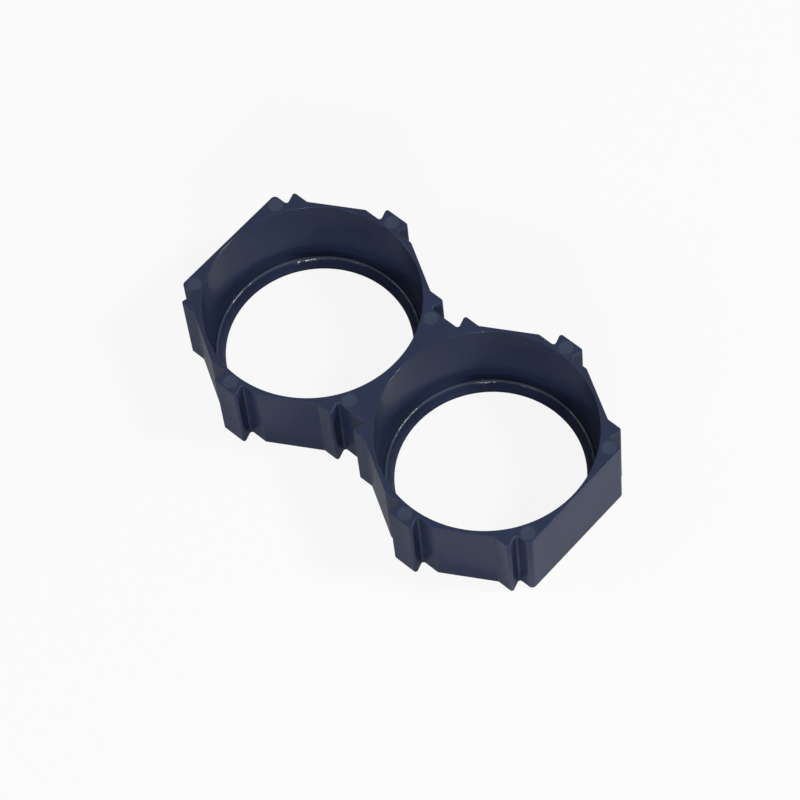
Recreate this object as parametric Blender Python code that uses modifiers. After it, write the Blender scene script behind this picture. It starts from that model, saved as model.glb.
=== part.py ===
"""Holder bracket for a row of round battery cells, moulded in one piece of black plastic.

The bracket lies on its lip side, centred on the world origin, with its row of cells along X and
its pockets open towards +Z. Brackets tile as a honeycomb: the dovetail teeth of one row slide
down into the sockets of the next.
"""
import math

import bmesh
import bpy
from mathutils import Vector

MM = 0.001

# Cell pockets
CELL_COUNT = 2
POCKET_DIAMETER = 18.45 * MM
WEB_THICKNESS = 0.75 * MM
HEIGHT = 7.9 * MM

# Lip that stops each cell
LIP_THICKNESS = 0.95 * MM
LIP_OVERHANG = 1.23 * MM
LIP_LAND = 0.15 * MM
LIP_CHAMFER = 0.62 * MM
LIP_EDGE_RADIUS = 0.22 * MM

# Dovetail teeth, and the room that a socket leaves round a tooth
TOOTH_LENGTH = 1.19 * MM
TOOTH_NECK_WIDTH = 1.8 * MM
TOOTH_TIP_WIDTH = 2.56 * MM
FLAT_GAP = 0.04 * MM
SOCKET_END_GAP = 0.1 * MM
SOCKET_SIDE_GAP = 0.2 * MM

# Rounding
TOOTH_CORNER_RADIUS = 0.22 * MM
SOCKET_CORNER_RADIUS = 0.22 * MM
SHOULDER_RADIUS = 0.3 * MM
END_CORNER_RADIUS = 0.42 * MM
EDGE_RADIUS = 0.09 * MM

# Marks that the ejector pins leave in the top face
PIN_MARK_DIAMETER = 1.3 * MM
PIN_MARK_DEPTH = 0.03 * MM
PIN_MARK_MARGIN = 0.22 * MM
PIN_MARK_SLOPE = 0.12 * MM

# Facets and construction
POCKET_SIDES = 72
PIN_MARK_SIDES = 24
LIP_EDGE_STEPS = 3
ARC_STEP = math.radians(18)
EDGE_SEGMENTS = 2
OVERCUT = 1.0 * MM
MERGE_DISTANCE = 0.0001 * MM
SHARP_ANGLE = math.radians(35)
BEVEL_ANGLE = math.radians(60)

# Sizes that follow
POCKET_RADIUS = POCKET_DIAMETER / 2
CELL_PITCH = POCKET_DIAMETER + WEB_THICKNESS
ROW_PITCH = CELL_PITCH * math.sin(math.radians(60))
FLAT_DISTANCE = CELL_PITCH / 2 - FLAT_GAP
WALL_THICKNESS = FLAT_DISTANCE - POCKET_RADIUS
LIP_RADIUS = POCKET_RADIUS - LIP_OVERHANG
TOOTH_TOP = FLAT_DISTANCE + TOOTH_LENGTH
SHELF = ROW_PITCH - FLAT_DISTANCE - FLAT_GAP
SOCKET_FLOOR = ROW_PITCH - TOOTH_TOP - SOCKET_END_GAP
CELL_CENTRES = [(index - (CELL_COUNT - 1) / 2) * CELL_PITCH for index in range(CELL_COUNT)]
END_FACE = CELL_CENTRES[-1] + FLAT_DISTANCE

BLACK_PLASTIC = (0.018, 0.027, 0.056, 1.0)
PLASTIC_ROUGHNESS = 0.3


def clear_scene():
    """Removes the objects that a new file starts with."""
    for old in list(bpy.data.objects):
        bpy.data.objects.remove(old, do_unlink=True)


def new_collection(name):
    """Adds a collection to the scene."""
    collection = bpy.data.collections.new(name)
    bpy.context.scene.collection.children.link(collection)
    return collection


def black_plastic():
    """The moulding's plastic, black with a soft sheen."""
    material = bpy.data.materials.new("black_plastic")
    material.use_nodes = True
    shader = material.node_tree.nodes["Principled BSDF"]
    shader.inputs["Base Color"].default_value = BLACK_PLASTIC
    shader.inputs["Roughness"].default_value = PLASTIC_ROUGHNESS
    shader.inputs["Metallic"].default_value = 0.0
    material.diffuse_color = BLACK_PLASTIC
    return material


def tooth_half_width(rise):
    """Half the tooth's width at a height above its shoulder, along its slanted flank."""
    neck = TOOTH_NECK_WIDTH / 2
    tip = TOOTH_TIP_WIDTH / 2
    return neck + (tip - neck) * rise / TOOTH_LENGTH


def slant_offset(y):
    """Distance from the cell's centre line to the slanted flat, at a distance y from the centre."""
    return (FLAT_DISTANCE - y * math.sin(math.radians(60))) / math.cos(math.radians(60))


def cell_corners():
    """Corners from a socket's floor up to a tooth's tip, as offset from the cell, y and radius."""
    floor_half = tooth_half_width(TOOTH_LENGTH + SOCKET_END_GAP) + SOCKET_SIDE_GAP
    mouth_half = tooth_half_width(FLAT_GAP) + SOCKET_SIDE_GAP
    return [
        (CELL_PITCH / 2 - floor_half, SOCKET_FLOOR, SOCKET_CORNER_RADIUS),
        (CELL_PITCH / 2 - mouth_half, SHELF, SOCKET_CORNER_RADIUS),
        (slant_offset(SHELF), SHELF, SHOULDER_RADIUS),
        (slant_offset(FLAT_DISTANCE), FLAT_DISTANCE, SHOULDER_RADIUS),
        (tooth_half_width(0.0), FLAT_DISTANCE, TOOTH_CORNER_RADIUS),
        (tooth_half_width(TOOTH_LENGTH), TOOTH_TOP, TOOTH_CORNER_RADIUS),
    ]


def outline_corners():
    """Corners of the whole outline in order, as x, y and radius."""
    side = [(-END_FACE, SOCKET_FLOOR, END_CORNER_RADIUS)]
    for centre in CELL_CENTRES:
        corners = cell_corners()
        side += [(centre - offset, y, radius) for offset, y, radius in corners]
        side += [(centre + offset, y, radius) for offset, y, radius in reversed(corners)]
    side.append((END_FACE, SOCKET_FLOOR, END_CORNER_RADIUS))
    other_side = [(-x, -y, radius) for x, y, radius in side]
    return side + other_side


def rounded_outline(corners):
    """Points along the outline, with each corner drawn as an arc."""
    points = []
    for index, (x, y, radius) in enumerate(corners):
        corner = Vector((x, y))
        before = Vector(corners[index - 1][:2]) - corner
        after = Vector(corners[(index + 1) % len(corners)][:2]) - corner
        turn = math.pi - before.angle(after)
        reach = min(radius * math.tan(turn / 2), before.length * 0.45, after.length * 0.45)
        arc_radius = reach / math.tan(turn / 2)
        middle = (before.normalized() + after.normalized()).normalized()
        centre = corner + middle * math.hypot(arc_radius, reach)
        start = corner + before.normalized() * reach - centre
        end = corner + after.normalized() * reach - centre
        steps = max(2, math.ceil(turn / ARC_STEP))
        for step in range(steps + 1):
            share = step / steps
            spoke = start * math.sin((1 - share) * turn) + end * math.sin(share * turn)
            points.append(centre + spoke / math.sin(turn))
    return points


def extruded_outline(name, points, height, collection):
    """Solid prism with the given plan, standing on the ground plane."""
    work = bmesh.new()
    plan = work.faces.new([work.verts.new((point.x, point.y, 0.0)) for point in points])
    raised = bmesh.ops.extrude_face_region(work, geom=[plan])["geom"]
    top = [item for item in raised if isinstance(item, bmesh.types.BMVert)]
    bmesh.ops.translate(work, verts=top, vec=Vector((0.0, 0.0, height)))
    bmesh.ops.recalc_face_normals(work, faces=work.faces)
    mesh = bpy.data.meshes.new(name)
    work.to_mesh(mesh)
    work.free()
    solid = bpy.data.objects.new(name, mesh)
    collection.objects.link(solid)
    return solid


def hide_as_cutter(cutter):
    """Shows a cutter as wires only."""
    cutter.hide_render = True
    cutter.display_type = "WIRE"


def lip_edge_arc(chamfer, land):
    """Rounded inner edge of the lip's top, as radius and height, from the seat to the chamfer."""
    fall = math.atan2(LIP_THICKNESS - land, chamfer)
    start = LIP_RADIUS + chamfer + LIP_EDGE_RADIUS * math.tan(fall / 2)
    arc = []
    for step in range(LIP_EDGE_STEPS + 1):
        tilt = fall * step / LIP_EDGE_STEPS
        radius = start - LIP_EDGE_RADIUS * math.sin(tilt)
        arc.append((radius, LIP_THICKNESS - LIP_EDGE_RADIUS * (1 - math.cos(tilt))))
    return arc


def pocket_cutter(name, centre, collection):
    """Turned shape of a pocket, with the step and the chamfered opening of its lip."""
    chamfer = min(LIP_CHAMFER, LIP_OVERHANG * 0.8)
    land = min(LIP_LAND, LIP_THICKNESS * 0.8)
    profile = [
        (0.0, HEIGHT + OVERCUT),
        (POCKET_RADIUS, HEIGHT + OVERCUT),
        (POCKET_RADIUS, LIP_THICKNESS),
        *lip_edge_arc(chamfer, land),
        (LIP_RADIUS, land),
        (LIP_RADIUS, -OVERCUT),
        (0.0, -OVERCUT),
    ]
    mesh = bpy.data.meshes.new(name)
    edges = [(index, index + 1) for index in range(len(profile) - 1)]
    mesh.from_pydata([(radius, 0.0, z) for radius, z in profile], edges, [])
    cutter = bpy.data.objects.new(name, mesh)
    cutter.location.x = centre
    collection.objects.link(cutter)
    screw = cutter.modifiers.new("turned", "SCREW")
    screw.axis = "Z"
    screw.steps = POCKET_SIDES
    screw.render_steps = POCKET_SIDES
    screw.use_merge_vertices = True
    screw.merge_threshold = MERGE_DISTANCE
    hide_as_cutter(cutter)
    return cutter


def pin_mark_places():
    """Centres of the pin marks, one at each corner of the honeycomb that cells share."""
    places = []
    tooth_reach = (POCKET_RADIUS + TOOTH_TOP) / 2
    corner_reach = POCKET_RADIUS + PIN_MARK_MARGIN + PIN_MARK_DIAMETER / 2
    for index, centre in enumerate(CELL_CENTRES):
        for corner in range(6):
            angle = math.radians(30 + 60 * corner)
            on_tooth = abs(math.cos(angle)) < 0.5
            shared_with_last_cell = index > 0 and math.cos(angle) < -0.5
            if not shared_with_last_cell:
                reach = tooth_reach if on_tooth else corner_reach
                places.append((centre + reach * math.cos(angle), reach * math.sin(angle)))
    return places


def pin_mark_cutter(name, collection):
    """Short cones that sink the pin marks into the top face, with a sloping edge."""
    mesh = bpy.data.meshes.new(name)
    work = bmesh.new()
    for x, y in pin_mark_places():
        cone = bmesh.ops.create_cone(
            work, cap_ends=True, segments=PIN_MARK_SIDES, depth=2 * PIN_MARK_DEPTH,
            radius1=PIN_MARK_DIAMETER / 2 - PIN_MARK_SLOPE,
            radius2=PIN_MARK_DIAMETER / 2 + PIN_MARK_SLOPE,
        )
        bmesh.ops.translate(work, verts=cone["verts"], vec=Vector((x, y, HEIGHT)))
    work.to_mesh(mesh)
    work.free()
    cutter = bpy.data.objects.new(name, mesh)
    collection.objects.link(cutter)
    hide_as_cutter(cutter)
    return cutter


def cut(solid, cutter):
    """Takes the cutter's shape out of the solid."""
    boolean = solid.modifiers.new(cutter.name, "BOOLEAN")
    boolean.operation = "DIFFERENCE"
    boolean.solver = "EXACT"
    boolean.object = cutter


def round_edges(solid):
    """Rounds the right-angled edges by the small radius that a mould leaves."""
    bevel = solid.modifiers.new("moulded_edges", "BEVEL")
    bevel.width = min(EDGE_RADIUS, WALL_THICKNESS * 0.3, LIP_THICKNESS * 0.2)
    bevel.segments = EDGE_SEGMENTS
    bevel.limit_method = "ANGLE"
    bevel.angle_limit = BEVEL_ANGLE
    bevel.use_clamp_overlap = True


def finish_mesh(solid, material):
    """Keeps the modelled shape as a plain mesh, shaded smooth up to its real edges."""
    bpy.context.view_layer.update()
    evaluated = solid.evaluated_get(bpy.context.evaluated_depsgraph_get())
    mesh = bpy.data.meshes.new_from_object(evaluated)
    solid.modifiers.clear()
    solid.data = mesh
    mesh.materials.clear()
    mesh.materials.append(material)
    mesh.shade_smooth()
    mesh.set_sharp_from_angle(angle=SHARP_ANGLE)


def build():
    """Models the bracket."""
    clear_scene()
    parts = new_collection("battery_cell_holder_bracket")
    cutters = new_collection("cutters")
    points = rounded_outline(outline_corners())
    bracket = extruded_outline("holder_bracket", points, HEIGHT, parts)
    for index, centre in enumerate(CELL_CENTRES):
        cut(bracket, pocket_cutter(f"pocket_cutter_{index + 1}", centre, cutters))
    round_edges(bracket)
    cut(bracket, pin_mark_cutter("pin_mark_cutter", cutters))
    finish_mesh(bracket, black_plastic())


build()
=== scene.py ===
"""Looks of a battery cell holder bracket: fine edges, black plastic, studio floor and camera.

The finished moulding replaces the plain node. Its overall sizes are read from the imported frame,
and the rest are the part's own sizes in metres.
"""
import math

import bmesh
import bpy
from mathutils import Matrix, Vector


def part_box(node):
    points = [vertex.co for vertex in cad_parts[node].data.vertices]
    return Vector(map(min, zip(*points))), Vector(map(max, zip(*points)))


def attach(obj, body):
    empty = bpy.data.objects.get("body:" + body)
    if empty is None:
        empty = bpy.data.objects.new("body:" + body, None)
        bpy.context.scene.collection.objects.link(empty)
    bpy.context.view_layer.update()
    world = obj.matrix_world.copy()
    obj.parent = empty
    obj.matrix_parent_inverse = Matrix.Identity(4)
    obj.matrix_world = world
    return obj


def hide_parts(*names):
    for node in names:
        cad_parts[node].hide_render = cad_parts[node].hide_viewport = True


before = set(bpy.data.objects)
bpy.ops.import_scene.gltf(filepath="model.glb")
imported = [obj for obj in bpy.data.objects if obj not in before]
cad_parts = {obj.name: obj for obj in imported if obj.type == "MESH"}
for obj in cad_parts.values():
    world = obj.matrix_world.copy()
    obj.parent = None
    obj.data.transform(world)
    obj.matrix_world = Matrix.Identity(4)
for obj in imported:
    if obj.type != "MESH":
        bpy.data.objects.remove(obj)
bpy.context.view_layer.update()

MM = 0.001
HEX_ANGLE = math.radians(60)
NODE = "holder_bracket"

# Overall sizes from the frame
NODE_LOW, NODE_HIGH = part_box(NODE)
HEIGHT = NODE_HIGH.z
END_FACE = NODE_HIGH.x
TOOTH_TOP = NODE_HIGH.y

# Sizes of the moulding
CELL_COUNT = 2
POCKET_DIAMETER = 18.45 * MM
WEB_THICKNESS = 0.75 * MM
LIP_THICKNESS = 0.95 * MM
LIP_OVERHANG = 1.23 * MM
LIP_LAND = 0.15 * MM
LIP_CHAMFER = 0.62 * MM
LIP_EDGE_RADIUS = 0.34 * MM
TOOTH_LENGTH = 1.19 * MM
TOOTH_NECK_WIDTH = 1.8 * MM
TOOTH_TIP_WIDTH = 2.56 * MM
FLAT_GAP = 0.04 * MM
SOCKET_END_GAP = 0.1 * MM
SOCKET_SIDE_GAP = 0.2 * MM
TOOTH_CORNER_RADIUS = 0.22 * MM
SOCKET_CORNER_RADIUS = 0.22 * MM
SHOULDER_RADIUS = 0.3 * MM
END_CORNER_RADIUS = 0.42 * MM
EDGE_RADIUS = 0.1 * MM
PIN_MARK_DIAMETER = 1.3 * MM
PIN_MARK_DEPTH = 0.03 * MM
PIN_MARK_MARGIN = 0.22 * MM
PIN_MARK_SLOPE = 0.12 * MM

# Fineness of the mesh
POCKET_SIDES = 288
PIN_MARK_SIDES = 64
ARC_STEP = math.radians(7)
LIP_EDGE_STEPS = 8
EDGE_SEGMENTS = 4
FACE_WEIGHT = 100
ARC_SIDE_SHARE = 0.45
OVERCUT = 1.0 * MM
MERGE_DISTANCE = 0.0001 * MM
SHARP_ANGLE = math.radians(40)
BEVEL_ANGLE = math.radians(40)

# Sizes that follow
POCKET_RADIUS = POCKET_DIAMETER / 2
CELL_PITCH = POCKET_DIAMETER + WEB_THICKNESS
ROW_PITCH = CELL_PITCH * math.sin(HEX_ANGLE)
FLAT_DISTANCE = CELL_PITCH / 2 - FLAT_GAP
LIP_RADIUS = POCKET_RADIUS - LIP_OVERHANG
SHELF = ROW_PITCH - FLAT_DISTANCE - FLAT_GAP
SOCKET_FLOOR = ROW_PITCH - TOOTH_TOP - SOCKET_END_GAP
CELL_CENTRES = [(index - (CELL_COUNT - 1) / 2) * CELL_PITCH for index in range(CELL_COUNT)]

# Camera, from the photograph's perspective
CAMERA_AZIMUTH = math.radians(47.95)
CAMERA_ELEVATION = math.radians(60.12)
CAMERA_ROLL = math.radians(-7.34)
CAMERA_DISTANCE = 310.0 * MM
CAMERA_AIM = Vector((-1.043 * MM, 0.631 * MM, 0.0))
CAMERA_LENS = 165.87
CAMERA_SENSOR = 36.0
CAMERA_CLIP_SHARES = (0.05, 50.0)

# Soft lights, as name, azimuth and elevation in degrees, width in metres and power in watts
LAMP_DISTANCE = 0.5
SOFTBOXES = [
    ("right_key", 127, 46, 0.08, 2.05),
    ("behind_camera", 45, 26, 0.05, 1.3),
    ("left_of_camera", 5, 25, 0.1, 0.5),
    ("back_left", 310, 38, 0.2, 0.45),
]

# Floor and surroundings
WHITE = (1.0, 1.0, 1.0, 1.0)
SKY_STRENGTH = 0.05
FLOOR_COLOUR = (0.58, 0.58, 0.58, 1.0)
FLOOR_HALF_WIDTH = 3.0
FLOOR_DROP = 0.02 * MM
FLOOR_WHITE_TO_CAMERA = 0.9
FLOOR_WHITE_TO_GLOSS = 0.03

# Colours of the plastic
BLACK = (0.0, 0.0, 0.0, 1.0)
PLASTIC_DARK = (0.0164, 0.0242, 0.0545, 1.0)
PLASTIC_LIGHT = (0.0196, 0.0280, 0.0624, 1.0)
# Painted light: the pocket walls get a slightly paler copy of the plastic's colours
LIT_POCKET_DARK = (0.0168, 0.0250, 0.0560, 1.0)
LIT_POCKET_LIGHT = (0.0206, 0.0298, 0.0655, 1.0)
# Painted sheen: paler colour on the pin-mark discs for their stronger reflection
PIN_MARK_SHEEN_COLOUR = (0.0340, 0.0460, 0.0780, 1.0)
WORN_EDGE_COLOUR = (0.0360, 0.0450, 0.0760, 1.0)
# Painted highlight: a pale ring on the rounded inner edge of the lip
LIP_EDGE_HIGHLIGHT_COLOUR = (0.0400, 0.0495, 0.0750, 1.0)
WORN_EDGE_SHARE = 0.4
# Painted shade: the share of the colour kept near the inner corner at the lip's seat
CORNER_SHADE = 0.9

# Gloss of the plastic
PLASTIC_IOR = 1.23
POCKET_ROUGHNESS = 0.12
OUTER_ROUGHNESS = 0.27
LIP_ROUGHNESS = 0.15
ROUGHNESS_SPREAD = 0.06

# Patterns in the plastic, as noise scales and details, and heights of relief
CLOUD_SCALE = 220.0
CLOUD_DETAIL = 5.0
GRAIN_SCALE = 7000.0
GRAIN_DETAIL = 2.0
GRAIN_HEIGHT = 0.003 * MM
DRAG_LINE_SCALE = 5000.0
DRAG_LINE_DETAIL = 3.0
DRAG_LINE_STRETCH = 0.03
DRAG_LINE_HEIGHT = 0.004 * MM
LIP_WAVE_SCALE = 1000.0
LIP_WAVE_DETAIL = 2.0
LIP_WAVE_HEIGHT = 0.1 * MM

# Zones of the plastic, each as the value where it starts and the value where it is full
MOTTLE_FADE = (0.3, 0.7)
WORN_PATCH_FADE = (0.35, 0.6)
UPRIGHT_FADE = (0.95, 0.6)
RIM_TILT_FADE = (0.05, 0.3)
RIM_LEVEL_FADE = (0.99, 0.9)
RIM_HEIGHT_FADE = (HEIGHT / 2 - 1.2 * EDGE_RADIUS, HEIGHT / 2 - EDGE_RADIUS)
ABOVE_BASE_FADE = (0.02 * MM, 0.1 * MM)
OUTSIDE_FADE = (POCKET_RADIUS + 0.02 * MM, POCKET_RADIUS + 0.1 * MM)
OFF_LIP_FADE = (POCKET_RADIUS - 0.35 * MM, POCKET_RADIUS - 0.1 * MM)
LIP_FADE = (LIP_RADIUS + LIP_CHAMFER + 0.25 * MM, LIP_RADIUS + LIP_CHAMFER + 0.05 * MM)
LIP_EDGE_HIGHLIGHT_FADE = (0.2 * MM, 0.07 * MM)
CORNER_SHADE_FADE = (1.25 * MM, 1.0 * MM)
PIN_MARK_FADE = (PIN_MARK_DIAMETER / 2 + PIN_MARK_SLOPE / 2, PIN_MARK_DIAMETER / 2 - PIN_MARK_SLOPE)
TOP_FADE = (HEIGHT - 4 * PIN_MARK_DEPTH, HEIGHT - 2 * PIN_MARK_DEPTH)


def tooth_half_width(rise):
    """Half the tooth's width at a height above its shoulder, along its slanted flank."""
    neck = TOOTH_NECK_WIDTH / 2
    tip = TOOTH_TIP_WIDTH / 2
    return neck + (tip - neck) * rise / TOOTH_LENGTH


def slant_offset(y):
    """Distance from the cell's centre line to the slanted flat, at a distance y from the centre."""
    return (FLAT_DISTANCE - y * math.sin(HEX_ANGLE)) / math.cos(HEX_ANGLE)


def cell_corners():
    """Corners from a socket's floor up to a tooth's tip, as offset from the cell, y and radius."""
    floor_half = tooth_half_width(TOOTH_LENGTH + SOCKET_END_GAP) + SOCKET_SIDE_GAP
    mouth_half = tooth_half_width(FLAT_GAP) + SOCKET_SIDE_GAP
    return [
        (CELL_PITCH / 2 - floor_half, SOCKET_FLOOR, SOCKET_CORNER_RADIUS),
        (CELL_PITCH / 2 - mouth_half, SHELF, SOCKET_CORNER_RADIUS),
        (slant_offset(SHELF), SHELF, SHOULDER_RADIUS),
        (slant_offset(FLAT_DISTANCE), FLAT_DISTANCE, SHOULDER_RADIUS),
        (tooth_half_width(0.0), FLAT_DISTANCE, TOOTH_CORNER_RADIUS),
        (tooth_half_width(TOOTH_LENGTH), TOOTH_TOP, TOOTH_CORNER_RADIUS),
    ]


def outline_corners():
    """Corners of the whole outline in order, as x, y and radius."""
    side = [(-END_FACE, SOCKET_FLOOR, END_CORNER_RADIUS)]
    for centre in CELL_CENTRES:
        corners = cell_corners()
        side += [(centre - offset, y, radius) for offset, y, radius in corners]
        side += [(centre + offset, y, radius) for offset, y, radius in reversed(corners)]
    side.append((END_FACE, SOCKET_FLOOR, END_CORNER_RADIUS))
    other_side = [(-x, -y, radius) for x, y, radius in side]
    return side + other_side


def rounded_outline(corners):
    """Points along the outline, with each corner drawn as an arc."""
    points = []
    for index, (x, y, radius) in enumerate(corners):
        corner = Vector((x, y))
        before = Vector(corners[index - 1][:2]) - corner
        after = Vector(corners[(index + 1) % len(corners)][:2]) - corner
        turn = math.pi - before.angle(after)
        room = min(before.length, after.length) * ARC_SIDE_SHARE
        reach = min(radius * math.tan(turn / 2), room)
        arc_radius = reach / math.tan(turn / 2)
        middle = (before.normalized() + after.normalized()).normalized()
        centre = corner + middle * math.hypot(arc_radius, reach)
        start = corner + before.normalized() * reach - centre
        end = corner + after.normalized() * reach - centre
        steps = max(2, math.ceil(turn / ARC_STEP))
        for step in range(steps + 1):
            share = step / steps
            spoke = start * math.sin((1 - share) * turn) + end * math.sin(share * turn)
            points.append(centre + spoke / math.sin(turn))
    return points


def link(name, mesh):
    """Puts a mesh into the scene as a new object."""
    item = bpy.data.objects.new(name, mesh)
    bpy.context.scene.collection.objects.link(item)
    return item


def extruded_outline(name, points, height):
    """Solid prism with the given plan, standing on the floor."""
    work = bmesh.new()
    plan = work.faces.new([work.verts.new((point.x, point.y, 0.0)) for point in points])
    raised = bmesh.ops.extrude_face_region(work, geom=[plan])["geom"]
    top = [item for item in raised if isinstance(item, bmesh.types.BMVert)]
    bmesh.ops.translate(work, verts=top, vec=Vector((0.0, 0.0, height)))
    bmesh.ops.recalc_face_normals(work, faces=work.faces)
    mesh = bpy.data.meshes.new(name)
    work.to_mesh(mesh)
    work.free()
    return link(name, mesh)


def lip_edge_arc():
    """Rounded inner edge of the lip's top, as radius and height, from the seat to the chamfer."""
    fall = math.atan2(LIP_THICKNESS - LIP_LAND, LIP_CHAMFER)
    reach = LIP_EDGE_RADIUS * math.tan(fall / 2)
    start = LIP_RADIUS + LIP_CHAMFER + reach
    arc = []
    for step in range(LIP_EDGE_STEPS + 1):
        tilt = fall * step / LIP_EDGE_STEPS
        radius = start - LIP_EDGE_RADIUS * math.sin(tilt)
        arc.append((radius, LIP_THICKNESS - LIP_EDGE_RADIUS * (1 - math.cos(tilt))))
    return arc


def pocket_cutter(name, centre):
    """Turned shape of a pocket, with the step and the chamfered opening of its lip."""
    profile = [
        (0.0, HEIGHT + OVERCUT),
        (POCKET_RADIUS, HEIGHT + OVERCUT),
        (POCKET_RADIUS, LIP_THICKNESS),
        *lip_edge_arc(),
        (LIP_RADIUS, LIP_LAND),
        (LIP_RADIUS, -OVERCUT),
        (0.0, -OVERCUT),
    ]
    mesh = bpy.data.meshes.new(name)
    edges = [(index, index + 1) for index in range(len(profile) - 1)]
    mesh.from_pydata([(radius, 0.0, z) for radius, z in profile], edges, [])
    cutter = link(name, mesh)
    cutter.location.x = centre
    screw = cutter.modifiers.new("turned", "SCREW")
    screw.axis = "Z"
    screw.steps = POCKET_SIDES
    screw.render_steps = POCKET_SIDES
    screw.use_merge_vertices = True
    screw.merge_threshold = MERGE_DISTANCE
    return cutter


def pin_mark_places():
    """Centres of the pin marks, one at each corner of the honeycomb that cells share."""
    places = []
    tooth_reach = (POCKET_RADIUS + TOOTH_TOP) / 2
    corner_reach = POCKET_RADIUS + PIN_MARK_MARGIN + PIN_MARK_DIAMETER / 2
    for index, centre in enumerate(CELL_CENTRES):
        for corner in range(6):
            angle = (corner + 0.5) * HEX_ANGLE
            on_tooth = abs(math.cos(angle)) < 0.5
            shared_with_last_cell = index > 0 and math.cos(angle) < -0.5
            if not shared_with_last_cell:
                reach = tooth_reach if on_tooth else corner_reach
                places.append((centre + reach * math.cos(angle), reach * math.sin(angle)))
    return places


def pin_mark_cutter(name):
    """Short cones that sink the pin marks into the top face, with a sloping edge."""
    mesh = bpy.data.meshes.new(name)
    work = bmesh.new()
    for x, y in pin_mark_places():
        cone = bmesh.ops.create_cone(
            work, cap_ends=True, segments=PIN_MARK_SIDES, depth=2 * PIN_MARK_DEPTH,
            radius1=PIN_MARK_DIAMETER / 2 - PIN_MARK_SLOPE,
            radius2=PIN_MARK_DIAMETER / 2 + PIN_MARK_SLOPE,
        )
        bmesh.ops.translate(work, verts=cone["verts"], vec=Vector((x, y, HEIGHT)))
    work.to_mesh(mesh)
    work.free()
    return link(name, mesh)


def cut(solid, cutter):
    """Takes the cutter's shape out of the solid."""
    boolean = solid.modifiers.new(cutter.name, "BOOLEAN")
    boolean.operation = "DIFFERENCE"
    boolean.solver = "EXACT"
    boolean.object = cutter


def mark_outer_edges(solid):
    """Gives the sharp outward edges their bevel weight. Inner corners stay sharp."""
    work = bmesh.new()
    work.from_mesh(solid.data)
    weight = work.edges.layers.float.new("bevel_weight_edge")
    for edge in work.edges:
        if edge.is_convex and edge.calc_face_angle(0.0) > BEVEL_ANGLE:
            edge[weight] = 1.0
    work.to_mesh(solid.data)
    work.free()


def round_edges(solid):
    """Rounds the marked edges by the small radius that a mould leaves."""
    bevel = solid.modifiers.new("moulded_edges", "BEVEL")
    bevel.width = EDGE_RADIUS
    bevel.segments = EDGE_SEGMENTS
    bevel.limit_method = "WEIGHT"
    bevel.use_clamp_overlap = True


def even_normals(solid):
    """Keeps flat faces flat to the eye next to their rounded edges."""
    weighted = solid.modifiers.new("even_normals", "WEIGHTED_NORMAL")
    weighted.mode = "FACE_AREA"
    weighted.weight = FACE_WEIGHT
    weighted.keep_sharp = True


def apply_modifiers(solid):
    """Keeps the modelled shape as a plain mesh."""
    bpy.context.view_layer.update()
    evaluated = solid.evaluated_get(bpy.context.evaluated_depsgraph_get())
    mesh = bpy.data.meshes.new_from_object(evaluated)
    solid.modifiers.clear()
    solid.data = mesh


def make_bracket():
    """The moulding with its fine edges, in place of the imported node."""
    solid = extruded_outline("moulded_bracket", rounded_outline(outline_corners()), HEIGHT)
    cutters = [pocket_cutter(f"pocket_{i + 1}", x) for i, x in enumerate(CELL_CENTRES)]
    for cutter in cutters:
        cut(solid, cutter)
    apply_modifiers(solid)
    mark_outer_edges(solid)
    round_edges(solid)
    cutters.append(pin_mark_cutter("pin_marks"))
    cut(solid, cutters[-1])
    apply_modifiers(solid)
    for cutter in cutters:
        bpy.data.objects.remove(cutter, do_unlink=True)
    solid.data.shade_smooth()
    solid.data.set_sharp_from_angle(angle=SHARP_ANGLE)
    even_normals(solid)
    apply_modifiers(solid)
    return solid


def feed(tree, socket, value):
    """Links an output into a socket, or sets the socket to a plain value."""
    if isinstance(value, bpy.types.NodeSocket):
        tree.links.new(value, socket)
    else:
        socket.default_value = value


def calculate(tree, operation, *values):
    """Math node on one, two or three values."""
    node = tree.nodes.new("ShaderNodeMath")
    node.operation = operation
    for socket, value in zip(node.inputs, values):
        feed(tree, socket, value)
    return node.outputs["Value"]


def measure(tree, operation, first, second=(0.0, 0.0, 0.0)):
    """Vector node that gives a length or a distance."""
    node = tree.nodes.new("ShaderNodeVectorMath")
    node.operation = operation
    feed(tree, node.inputs[0], first)
    feed(tree, node.inputs[1], second)
    return node.outputs["Value"]


def fade(tree, value, start_and_end):
    """Soft step from 0 at the start value to 1 at the end value."""
    start, end = start_and_end
    node = tree.nodes.new("ShaderNodeMapRange")
    node.interpolation_type = "SMOOTHSTEP"
    feed(tree, node.inputs["Value"], value)
    node.inputs["From Min"].default_value = min(start, end)
    node.inputs["From Max"].default_value = max(start, end)
    node.inputs["To Min"].default_value = 0.0 if start < end else 1.0
    node.inputs["To Max"].default_value = 1.0 if start < end else 0.0
    return node.outputs["Result"]


def join_xyz(tree, x, y, z):
    """Vector from three values."""
    node = tree.nodes.new("ShaderNodeCombineXYZ")
    for socket, value in zip(node.inputs, (x, y, z)):
        feed(tree, socket, value)
    return node.outputs["Vector"]


def split_xyz(tree, vector):
    """The three values of a vector."""
    node = tree.nodes.new("ShaderNodeSeparateXYZ")
    tree.links.new(vector, node.inputs["Vector"])
    return node.outputs


def noise(tree, place, scale, detail, stretch=(1.0, 1.0, 1.0)):
    """Noise pattern, drawn out along the axes by the stretch."""
    stretched = tree.nodes.new("ShaderNodeVectorMath")
    stretched.operation = "MULTIPLY"
    feed(tree, stretched.inputs[0], place)
    feed(tree, stretched.inputs[1], stretch)
    pattern = tree.nodes.new("ShaderNodeTexNoise")
    pattern.inputs["Scale"].default_value = scale
    pattern.inputs["Detail"].default_value = detail
    tree.links.new(stretched.outputs["Vector"], pattern.inputs["Vector"])
    return pattern.outputs["Fac"]


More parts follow.
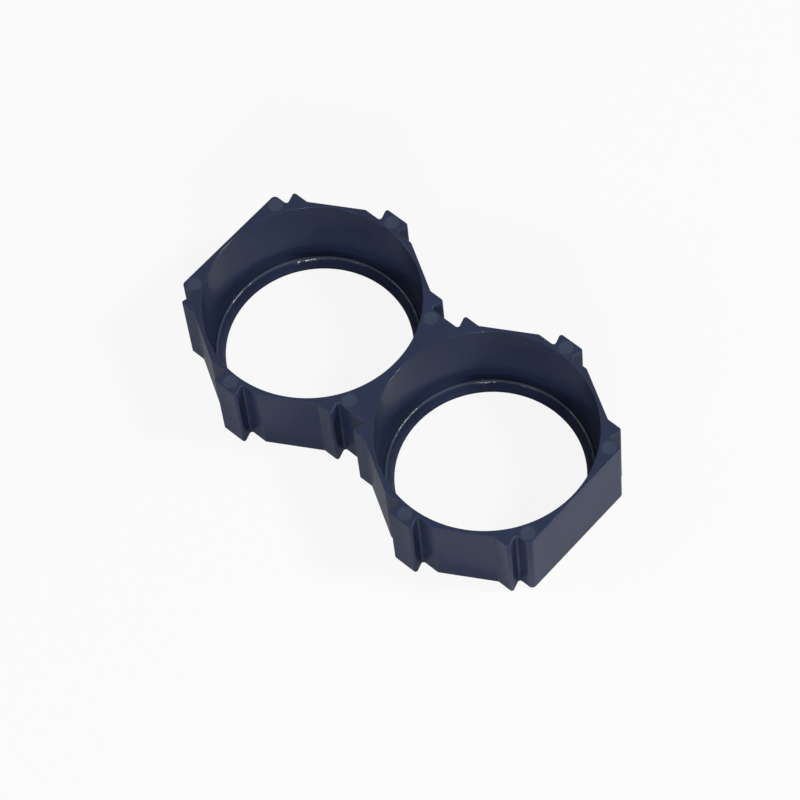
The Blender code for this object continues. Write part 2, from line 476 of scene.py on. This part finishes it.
def blend(tree, share, first, second):
    """Colour between two colours. They are the mix node's inputs 6 and 7 and its output 2."""
    node = tree.nodes.new("ShaderNodeMix")
    node.data_type = "RGBA"
    feed(tree, node.inputs[0], share)
    feed(tree, node.inputs[6], first)
    feed(tree, node.inputs[7], second)
    return node.outputs[2]


def pin_mark_mask(tree, x, y, z):
    """1 on the discs of the pin marks and 0 elsewhere."""
    plan = join_xyz(tree, x, y, 0.0)
    nearest = 1.0
    for mark_x, mark_y in pin_mark_places():
        distance = measure(tree, "DISTANCE", plan, (mark_x, mark_y, 0.0))
        nearest = calculate(tree, "MINIMUM", nearest, distance)
    return calculate(tree, "MULTIPLY", fade(tree, nearest, PIN_MARK_FADE), fade(tree, z, TOP_FADE))


def cell_radius(tree, x, y):
    """Distance from the nearest cell's axis."""
    from_cell = calculate(tree, "SUBTRACT", calculate(tree, "ABSOLUTE", x), CELL_PITCH / 2)
    return measure(tree, "LENGTH", join_xyz(tree, from_cell, y, 0.0))


def ring_mask(tree, section, radius, reach):
    """1 near a circle round each cell's axis, level with the lip's top, and 0 elsewhere."""
    return fade(tree, measure(tree, "DISTANCE", section, (radius, LIP_THICKNESS, 0.0)), reach)


def rim_mask(tree, z, up):
    """1 on the small rounded edges of the top and bottom faces and 0 elsewhere."""
    from_middle = calculate(tree, "ABSOLUTE", calculate(tree, "SUBTRACT", z, HEIGHT / 2))
    near_face = fade(tree, from_middle, RIM_HEIGHT_FADE)
    slanted = calculate(tree, "MULTIPLY", fade(tree, up, RIM_TILT_FADE), fade(tree, up, RIM_LEVEL_FADE))
    return calculate(tree, "MULTIPLY", near_face, slanted)


def plastic_zones(tree, place, normal):
    """Masks of the moulding's zones. The pocket's and the lip's stop at the flat underside."""
    x, y, z = split_xyz(tree, place)
    up = calculate(tree, "ABSOLUTE", split_xyz(tree, normal)["Z"])
    radius = cell_radius(tree, x, y)
    section = join_xyz(tree, radius, z, 0.0)
    above = fade(tree, z, ABOVE_BASE_FADE)
    base = calculate(tree, "SUBTRACT", 1.0, above)
    outside = calculate(tree, "MAXIMUM", fade(tree, radius, OUTSIDE_FADE), base)
    corner = ring_mask(tree, section, POCKET_RADIUS, CORNER_SHADE_FADE)
    return {
        "outside": outside,
        "lit_pocket_wall": calculate(tree, "SUBTRACT", fade(tree, radius, OFF_LIP_FADE), outside),
        "corner": calculate(tree, "MULTIPLY", corner, above),
        "lip": calculate(tree, "MULTIPLY", fade(tree, radius, LIP_FADE), above),
        "lip_edge_highlight": ring_mask(tree, section, LIP_RADIUS + LIP_CHAMFER, LIP_EDGE_HIGHLIGHT_FADE),
        "pin_mark": pin_mark_mask(tree, x, y, z),
        "rim": rim_mask(tree, z, up),
        "upright": fade(tree, up, UPRIGHT_FADE),
    }


def plastic_colour(tree, zones, cloud):
    """Mottled blue-black with worn edges, paler pocket walls as painted light, a darker inner corner as
    painted shade, paler pin marks as painted sheen and a painted highlight on the lip edge.
    """
    mottle = fade(tree, cloud, MOTTLE_FADE)
    colour = blend(tree, mottle, PLASTIC_DARK, PLASTIC_LIGHT)
    # Painted light: a paler copy of the plastic on the pocket walls
    lit_pocket_colour = blend(tree, mottle, LIT_POCKET_DARK, LIT_POCKET_LIGHT)
    colour = blend(tree, zones["lit_pocket_wall"], colour, lit_pocket_colour)
    # Painted shade: the colour is darkened within about a millimetre of the corner where the pocket wall
    # meets the lip
    shaded = blend(tree, CORNER_SHADE, BLACK, colour)
    colour = blend(tree, zones["corner"], colour, shaded)
    # Painted sheen on the pin-mark discs
    colour = blend(tree, zones["pin_mark"], colour, PIN_MARK_SHEEN_COLOUR)
    worn = calculate(tree, "MULTIPLY", zones["rim"], WORN_EDGE_SHARE)
    worn = calculate(tree, "MULTIPLY", worn, fade(tree, cloud, WORN_PATCH_FADE))
    colour = blend(tree, worn, colour, WORN_EDGE_COLOUR)
    # Painted highlight on the lip's rounded inner edge
    return blend(tree, zones["lip_edge_highlight"], colour, LIP_EDGE_HIGHLIGHT_COLOUR)


def plastic_roughness(tree, zones, waves, drag_lines):
    """Shiny pockets, lips that are shiny in patches and a duller outside, all with drag lines."""
    outer_extra = OUTER_ROUGHNESS - POCKET_ROUGHNESS
    roughness = calculate(tree, "MULTIPLY_ADD", zones["outside"], outer_extra, POCKET_ROUGHNESS)
    lip_extra = calculate(tree, "MULTIPLY", waves, 2 * (LIP_ROUGHNESS - POCKET_ROUGHNESS))
    roughness = calculate(tree, "MULTIPLY_ADD", zones["lip"], lip_extra, roughness)
    return calculate(tree, "MULTIPLY_ADD", drag_lines, ROUGHNESS_SPREAD, roughness)


def plastic_relief(tree, zones, grain, waves, drag_lines):
    """Fine grain all over, drag lines on the upright faces and slow waves on the lips."""
    upright_lines = calculate(tree, "MULTIPLY", drag_lines, zones["upright"])
    height = calculate(tree, "MULTIPLY", upright_lines, DRAG_LINE_HEIGHT)
    height = calculate(tree, "MULTIPLY_ADD", grain, GRAIN_HEIGHT, height)
    lip_waves = calculate(tree, "MULTIPLY", waves, LIP_WAVE_HEIGHT)
    height = calculate(tree, "MULTIPLY_ADD", lip_waves, zones["lip"], height)
    relief = tree.nodes.new("ShaderNodeBump")
    relief.inputs["Strength"].default_value = 1.0
    relief.inputs["Distance"].default_value = 1.0
    tree.links.new(height, relief.inputs["Height"])
    return relief.outputs["Normal"]


def black_plastic():
    """Black moulded plastic with a blue cast."""
    material = bpy.data.materials.new("black_plastic")
    material.use_nodes = True
    tree = material.node_tree
    shader = tree.nodes["Principled BSDF"]
    shader.inputs["Metallic"].default_value = 0.0
    shader.inputs["IOR"].default_value = PLASTIC_IOR
    coordinates = tree.nodes.new("ShaderNodeTexCoord")
    place = coordinates.outputs["Object"]
    zones = plastic_zones(tree, place, coordinates.outputs["Normal"])
    cloud = noise(tree, place, CLOUD_SCALE, CLOUD_DETAIL)
    grain = noise(tree, place, GRAIN_SCALE, GRAIN_DETAIL)
    waves = noise(tree, place, LIP_WAVE_SCALE, LIP_WAVE_DETAIL)
    drag_lines = noise(tree, place, DRAG_LINE_SCALE, DRAG_LINE_DETAIL, (1.0, 1.0, DRAG_LINE_STRETCH))
    tree.links.new(plastic_colour(tree, zones, cloud), shader.inputs["Base Color"])
    tree.links.new(plastic_roughness(tree, zones, waves, drag_lines), shader.inputs["Roughness"])
    tree.links.new(plastic_relief(tree, zones, grain, waves, drag_lines), shader.inputs["Normal"])
    return material


def direction(azimuth, elevation):
    """Unit vector away from the object. Azimuth 0 points to -Y and a quarter turn to +X."""
    level = math.cos(elevation)
    return Vector((math.sin(azimuth) * level, -math.cos(azimuth) * level, math.sin(elevation)))


def make_camera():
    """Camera at the photograph's viewing angle."""
    data = bpy.data.cameras.new("camera")
    data.lens = CAMERA_LENS
    data.sensor_width = CAMERA_SENSOR
    data.clip_start, data.clip_end = [CAMERA_DISTANCE * share for share in CAMERA_CLIP_SHARES]
    camera = bpy.data.objects.new("camera", data)
    bpy.context.scene.collection.objects.link(camera)
    back = direction(CAMERA_AZIMUTH, CAMERA_ELEVATION)
    turn = (-back).to_track_quat("-Z", "Y").to_matrix().to_4x4()
    roll = Matrix.Rotation(CAMERA_ROLL, 4, "Z")
    camera.matrix_world = Matrix.Translation(CAMERA_AIM + back * CAMERA_DISTANCE) @ turn @ roll
    bpy.context.scene.camera = camera


def mirrored_rays(tree, rays):
    """1 for the rays that a shiny or clear surface sends on and 0 for others."""
    return calculate(tree, "MAXIMUM", rays.outputs["Is Glossy Ray"], rays.outputs["Is Transmission Ray"])


def floor_finish():
    """Pale matt grey to the lamps, nearly white to the camera, and a little white in reflections."""
    material = bpy.data.materials.new("studio_floor")
    material.use_nodes = True
    tree = material.node_tree
    tree.nodes.remove(tree.nodes["Principled BSDF"])
    matt = tree.nodes.new("ShaderNodeBsdfDiffuse")
    matt.inputs["Color"].default_value = FLOOR_COLOUR
    white = tree.nodes.new("ShaderNodeEmission")
    rays = tree.nodes.new("ShaderNodeLightPath")
    share = calculate(tree, "MULTIPLY", mirrored_rays(tree, rays), FLOOR_WHITE_TO_GLOSS)
    share = calculate(tree, "MULTIPLY_ADD", rays.outputs["Is Camera Ray"], FLOOR_WHITE_TO_CAMERA, share)
    mix = tree.nodes.new("ShaderNodeMixShader")
    tree.links.new(share, mix.inputs["Fac"])
    tree.links.new(matt.outputs["BSDF"], mix.inputs[1])
    tree.links.new(white.outputs["Emission"], mix.inputs[2])
    tree.links.new(mix.outputs["Shader"], tree.nodes["Material Output"].inputs["Surface"])
    return material


def make_floor():
    """Plain pale floor that shows white and keeps a faint shadow."""
    mesh = bpy.data.meshes.new("studio_floor")
    work = bmesh.new()
    bmesh.ops.create_grid(work, x_segments=1, y_segments=1, size=FLOOR_HALF_WIDTH)
    work.to_mesh(mesh)
    work.free()
    mesh.materials.append(floor_finish())
    floor = link("studio_floor", mesh)
    floor.location.z = -FLOOR_DROP


def add_softbox(name, azimuth, elevation, size, power):
    """Square soft light that faces the object."""
    data = bpy.data.lights.new(name, "AREA")
    data.shape = "SQUARE"
    data.size = size
    data.energy = power
    lamp = bpy.data.objects.new(name, data)
    bpy.context.scene.collection.objects.link(lamp)
    back = direction(math.radians(azimuth), math.radians(elevation))
    lamp.location = back * LAMP_DISTANCE
    lamp.rotation_mode = "QUATERNION"
    lamp.rotation_quaternion = (-back).to_track_quat("-Z", "Y")


def make_light():
    """Dim pale surroundings that show white, and the soft lights."""
    world = bpy.data.worlds.new("studio")
    bpy.context.scene.world = world
    world.use_nodes = True
    tree = world.node_tree
    around = tree.nodes["Background"]
    around.inputs["Color"].default_value = WHITE
    around.inputs["Strength"].default_value = SKY_STRENGTH
    white = tree.nodes.new("ShaderNodeBackground")
    white.inputs["Color"].default_value = WHITE
    rays = tree.nodes.new("ShaderNodeLightPath")
    seen = calculate(tree, "MAXIMUM", rays.outputs["Is Camera Ray"], mirrored_rays(tree, rays))
    mix = tree.nodes.new("ShaderNodeMixShader")
    tree.links.new(seen, mix.inputs["Fac"])
    tree.links.new(around.outputs["Background"], mix.inputs[1])
    tree.links.new(white.outputs["Background"], mix.inputs[2])
    tree.links.new(mix.outputs["Shader"], tree.nodes["World Output"].inputs["Surface"])
    for softbox in SOFTBOXES:
        add_softbox(*softbox)


scene = bpy.context.scene
scene.view_settings.view_transform = "Standard"
bracket = make_bracket()
bracket.data.materials.clear()
bracket.data.materials.append(black_plastic())
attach(bracket, "root")
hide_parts(NODE)
make_floor()
make_light()
make_camera()
